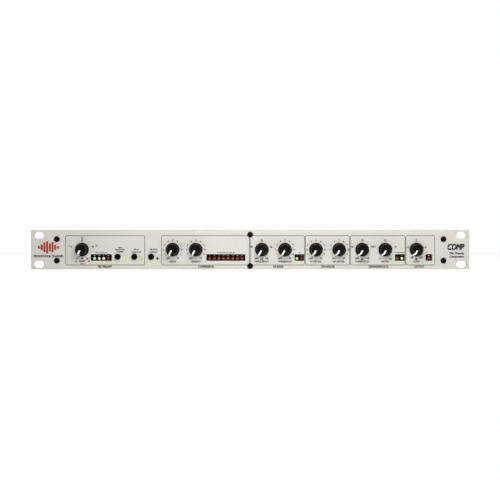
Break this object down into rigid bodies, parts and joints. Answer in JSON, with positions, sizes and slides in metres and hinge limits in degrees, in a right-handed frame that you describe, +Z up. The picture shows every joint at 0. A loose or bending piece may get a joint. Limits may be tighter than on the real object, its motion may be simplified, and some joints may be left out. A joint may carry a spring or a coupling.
{
  "type": "rack compressor",
  "caption": "Rack compressor with a microphone preamplifier: a panel of turning knobs, push buttons and lamp meters on a folded steel case with mains and audio sockets behind.",
  "frame": {"origin": "centre of the four rack slots on the rear face of the front panel", "axes": "+X to the right seen from the front, +Y to the rear, +Z up; the panel faces -Y"},
  "size_m": [0.4826, 0.1648, 0.0447],
  "materials": {
    "panel_paint": "satin silver-grey paint on aluminium",
    "case_paint": "black textured powder coat on steel",
    "black_steel": "black oxide",
    "zinc_steel": "zinc plated",
    "nickelled_brass": "nickel plated",
    "silvered_brass": "silver plated",
    "circuit_board": "green solder mask on glass epoxy",
    "pot_plastic": "moulded",
    "knob_plastic": "soft matt black",
    "shaft_metal": "turned",
    "button_plastic": "moulded, slight gloss",
    "smoked_lens": "smoked clear plastic",
    "green_lamp": "tinted epoxy",
    "yellow_lamp": "tinted epoxy",
    "red_lamp": "tinted epoxy",
    "black_plastic": "moulded nylon",
    "rocker_plastic": "moulded, slight gloss",
    "latch_metal": "nickel plated",
    "lamination_steel": "varnished laminations",
    "copper_winding": "yellow tape over copper",
    "capacitor_sleeve": "printed sleeve",
    "chip_plastic": "moulded epoxy",
    "black_aluminium": "black anodised",
    "fuse_glass": "clear glass and nickel caps",
    "cable_grey": "flat cable",
    "wire_blue": "insulated wire"
  },
  "bodies": {
    "unit": {"board_cable": "cable_grey", "board_screws": "zinc_steel", "board_standoffs": "nickelled_brass", "button_switches": "pot_plastic", "capacitors": "capacitor_sleeve", "chassis_tray": "case_paint", "cover_screws": "black_steel", "front_panel": "panel_paint", "green_lamps": "green_lamp", "heat_sink": "black_aluminium", "integrated_circuits": "chip_plastic", "internal_wires": "wire_blue", "jack_nuts": "nickelled_brass", "lamp_holders": "black_plastic", "line_jacks": "black_plastic", "main_board": "circuit_board", "mains_contacts": "nickelled_brass", "mains_fuse": "fuse_glass", "mains_inlet": "black_plastic", "meter_lenses": "smoked_lens", "mic_socket": "black_plastic", "mic_socket_contacts": "silvered_brass", "panel_screws": "black_steel", "potentiometer_housings": "pot_plastic", "potentiometer_nuts": "nickelled_brass", "power_board": "circuit_board", "power_switch_housing": "black_plastic", "red_lamps": "red_lamp", "socket_screws": "zinc_steel", "top_cover": "case_paint", "transformer_bracket": "zinc_steel", "transformer_core": "lamination_steel", "transformer_winding": "copper_winding", "voltage_regulators": "chip_plastic", "yellow_lamps": "yellow_lamp"},
    "mic_gain_control": {"mic_gain_knob": "knob_plastic", "mic_gain_shaft": "shaft_metal"},
    "drive_control": {"drive_knob": "knob_plastic", "drive_shaft": "shaft_metal"},
    "density_control": {"density_knob": "knob_plastic", "density_shaft": "shaft_metal"},
    "de_esser_frequency_control": {"de_esser_frequency_knob": "knob_plastic", "de_esser_frequency_shaft": "shaft_metal"},
    "de_esser_threshold_control": {"de_esser_threshold_knob": "knob_plastic", "de_esser_threshold_shaft": "shaft_metal"},
    "low_detail_control": {"low_detail_knob": "knob_plastic", "low_detail_shaft": "shaft_metal"},
    "high_detail_control": {"high_detail_knob": "knob_plastic", "high_detail_shaft": "shaft_metal"},
    "gate_threshold_control": {"gate_threshold_knob": "knob_plastic", "gate_threshold_shaft": "shaft_metal"},
    "gate_ratio_control": {"gate_ratio_knob": "knob_plastic", "gate_ratio_shaft": "shaft_metal"},
    "output_gain_control": {"output_gain_knob": "knob_plastic", "output_gain_shaft": "shaft_metal"},
    "phantom_power_push": {"phantom_power_button": "button_plastic"},
    "low_cut_push": {"low_cut_button": "button_plastic"},
    "bypass_push": {"bypass_button": "button_plastic"},
    "power_rocker": {"power_rocker": "rocker_plastic"},
    "mic_socket_latch": {"mic_socket_latch": "latch_metal"}
  },
  "joints": [
    {"name": "mic_gain_turn", "type": "hinge", "parent": "unit", "child": "mic_gain_control", "pos_m": [-0.1849, -0.003, 0.0003], "axis": [0, 1, 0], "range_deg": [0, 300]},
    {"name": "drive_turn", "type": "hinge", "parent": "unit", "child": "drive_control", "pos_m": [-0.0852, -0.003, 0.0003], "axis": [0, 1, 0], "range_deg": [0, 300]},
    {"name": "density_turn", "type": "hinge", "parent": "unit", "child": "density_control", "pos_m": [-0.0598, -0.003, 0.0003], "axis": [0, 1, 0], "range_deg": [0, 300]},
    {"name": "de_esser_frequency_turn", "type": "hinge", "parent": "unit", "child": "de_esser_frequency_control", "pos_m": [0.0129, -0.003, 0.0003], "axis": [0, 1, 0], "range_deg": [0, 300]},
    {"name": "de_esser_threshold_turn", "type": "hinge", "parent": "unit", "child": "de_esser_threshold_control", "pos_m": [0.0383, -0.003, 0.0003], "axis": [0, 1, 0], "range_deg": [0, 300]},
    {"name": "low_detail_turn", "type": "hinge", "parent": "unit", "child": "low_detail_control", "pos_m": [0.0724, -0.003, 0.0003], "axis": [0, 1, 0], "range_deg": [0, 300]},
    {"name": "high_detail_turn", "type": "hinge", "parent": "unit", "child": "high_detail_control", "pos_m": [0.0978, -0.003, 0.0003], "axis": [0, 1, 0], "range_deg": [0, 300]},
    {"name": "gate_threshold_turn", "type": "hinge", "parent": "unit", "child": "gate_threshold_control", "pos_m": [0.1232, -0.003, 0.0003], "axis": [0, 1, 0], "range_deg": [0, 300]},
    {"name": "gate_ratio_turn", "type": "hinge", "parent": "unit", "child": "gate_ratio_control", "pos_m": [0.1486, -0.003, 0.0003], "axis": [0, 1, 0], "range_deg": [0, 300]},
    {"name": "output_gain_turn", "type": "hinge", "parent": "unit", "child": "output_gain_control", "pos_m": [0.1829, -0.003, 0.0003], "axis": [0, 1, 0], "range_deg": [0, 300]},
    {"name": "phantom_power_press", "type": "slide", "parent": "unit", "child": "phantom_power_push", "axis": [0, 1, 0], "range_m": [0, 0.0025], "stiffness_N_per_m": 300, "springref_m": -0.002},
    {"name": "low_cut_press", "type": "slide", "parent": "unit", "child": "low_cut_push", "axis": [0, 1, 0], "range_m": [0, 0.0025], "stiffness_N_per_m": 300, "springref_m": -0.002},
    {"name": "bypass_press", "type": "slide", "parent": "unit", "child": "bypass_push", "axis": [0, 1, 0], "range_m": [0, 0.0025], "stiffness_N_per_m": 300, "springref_m": -0.002},
    {"name": "power_rocker_tilt", "type": "hinge", "parent": "unit", "child": "power_rocker", "pos_m": [0.136, 0.143, 0], "axis": [-1, 0, 0], "range_deg": [0, 20]},
    {"name": "mic_socket_latch_press", "type": "slide", "parent": "unit", "child": "mic_socket_latch", "axis": [0, -1, 0], "range_m": [0, 0.0012], "stiffness_N_per_m": 400, "springref_m": -0.001}
  ]
}
